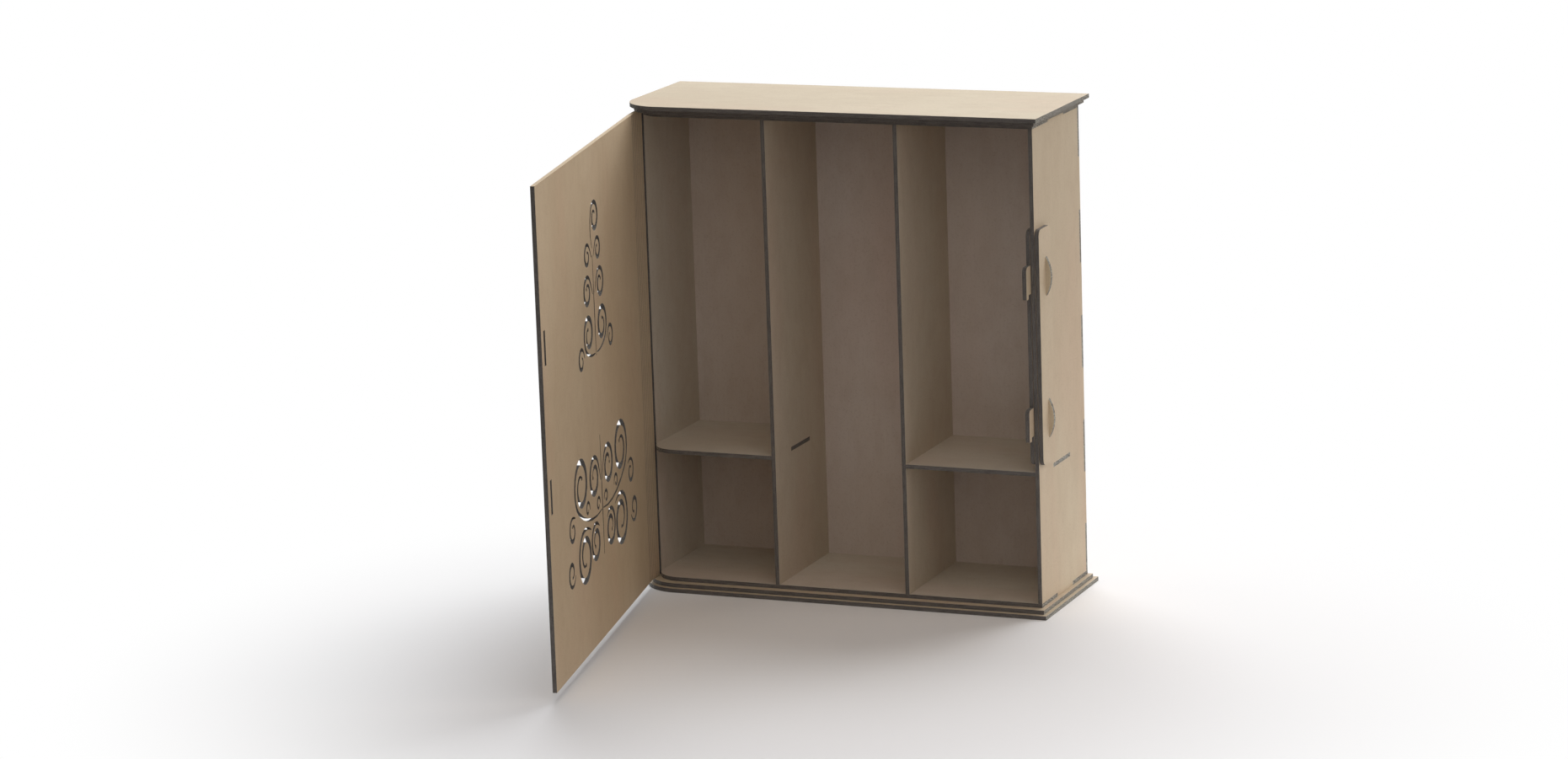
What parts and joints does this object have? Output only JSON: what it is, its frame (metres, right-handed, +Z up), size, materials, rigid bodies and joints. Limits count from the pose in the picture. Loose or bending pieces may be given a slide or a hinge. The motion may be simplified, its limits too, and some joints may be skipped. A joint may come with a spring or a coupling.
{
  "type": "wine gift box",
  "caption": "Laser-cut plywood gift box for a wine bottle and glasses, with divided bays, two shelves, a pierced door on a bending corner, and a sliding hook latch.",
  "frame": {"origin": "middle of the four walls on the ground, under the base", "axes": "+X to the latch side, +Y to the back panel, +Z up"},
  "size_m": [0.3205, 0.401, 0.3605],
  "materials": {
    "pale_plywood": "smooth bare plywood",
    "brown_plywood": "smooth bare plywood",
    "burnt_web": "laser-darkened wood"
  },
  "bodies": {
    "box": {"lower_base_plate": "brown_plywood", "upper_base_plate": "brown_plywood", "floor_panel": "pale_plywood", "top_panel": "pale_plywood", "lower_roof_plate": "brown_plywood", "upper_roof_plate": "pale_plywood", "left_wall": "pale_plywood", "right_wall": "pale_plywood", "back_panel": "brown_plywood", "left_divider": "pale_plywood", "right_divider": "pale_plywood", "left_shelf": "pale_plywood", "right_shelf": "pale_plywood"},
    "slat_1": {"hinge_slat_1": "burnt_web"},
    "slat_2": {"hinge_slat_2": "pale_plywood"},
    "slat_3": {"hinge_slat_3": "pale_plywood"},
    "slat_4": {"hinge_slat_4": "pale_plywood"},
    "slat_5": {"hinge_slat_5": "pale_plywood"},
    "slat_6": {"hinge_slat_6": "pale_plywood"},
    "slat_7": {"hinge_slat_7": "pale_plywood"},
    "slat_8": {"hinge_slat_8": "pale_plywood"},
    "door": {"door_panel": "pale_plywood"},
    "latch": {"latch_hook_plate": "brown_plywood", "latch_outer_plate": "brown_plywood", "upper_latch_grip": "pale_plywood", "lower_latch_grip": "pale_plywood"}
  },
  "joints": [
    {"name": "door_swing", "type": "hinge", "parent": "box", "child": "door", "pos_m": [-0.14661, -0.04666, 0.18025], "axis": [0, 0, 1], "range_deg": [-11.5, 78.5], "stiffness_Nm_per_rad": 0.03},
    {"name": "slat_1_bend", "type": "hinge", "parent": "box", "child": "slat_1", "pos_m": [-0.1505, -0.03386, 0.18025], "axis": [0, 0, 1], "range_deg": [-1.29, 8.73]},
    {"name": "slat_2_bend", "type": "hinge", "parent": "box", "child": "slat_2", "pos_m": [-0.15036, -0.03546, 0.18025], "axis": [0, 0, 1], "range_deg": [-2.57, 17.45]},
    {"name": "slat_3_bend", "type": "hinge", "parent": "box", "child": "slat_3", "pos_m": [-0.15013, -0.03706, 0.18025], "axis": [0, 0, 1], "range_deg": [-3.84, 26.18]},
    {"name": "slat_4_bend", "type": "hinge", "parent": "box", "child": "slat_4", "pos_m": [-0.1498, -0.03866, 0.18025], "axis": [0, 0, 1], "range_deg": [-5.12, 34.9]},
    {"name": "slat_5_bend", "type": "hinge", "parent": "box", "child": "slat_5", "pos_m": [-0.14937, -0.04026, 0.18025], "axis": [0, 0, 1], "range_deg": [-6.4, 43.62]},
    {"name": "slat_6_bend", "type": "hinge", "parent": "box", "child": "slat_6", "pos_m": [-0.14884, -0.04186, 0.18025], "axis": [0, 0, 1], "range_deg": [-7.68, 52.34]},
    {"name": "slat_7_bend", "type": "hinge", "parent": "box", "child": "slat_7", "pos_m": [-0.14821, -0.04346, 0.18025], "axis": [0, 0, 1], "range_deg": [-8.95, 61.07]},
    {"name": "slat_8_bend", "type": "hinge", "parent": "box", "child": "slat_8", "pos_m": [-0.14747, -0.04506, 0.18025], "axis": [0, 0, 1], "range_deg": [-10.23, 69.79]},
    {"name": "latch_slide", "type": "slide", "parent": "box", "child": "latch", "axis": [0, 0, 1], "range_m": [-0.0032, 0]}
  ],
  "couplings": [
    {"joint": "slat_1_bend", "follows": "door_swing", "ratio": 0.11111},
    {"joint": "slat_2_bend", "follows": "door_swing", "ratio": 0.22222},
    {"joint": "slat_3_bend", "follows": "door_swing", "ratio": 0.33333},
    {"joint": "slat_4_bend", "follows": "door_swing", "ratio": 0.44444},
    {"joint": "slat_5_bend", "follows": "door_swing", "ratio": 0.55556},
    {"joint": "slat_6_bend", "follows": "door_swing", "ratio": 0.66667},
    {"joint": "slat_7_bend", "follows": "door_swing", "ratio": 0.77778},
    {"joint": "slat_8_bend", "follows": "door_swing", "ratio": 0.88889}
  ]
}
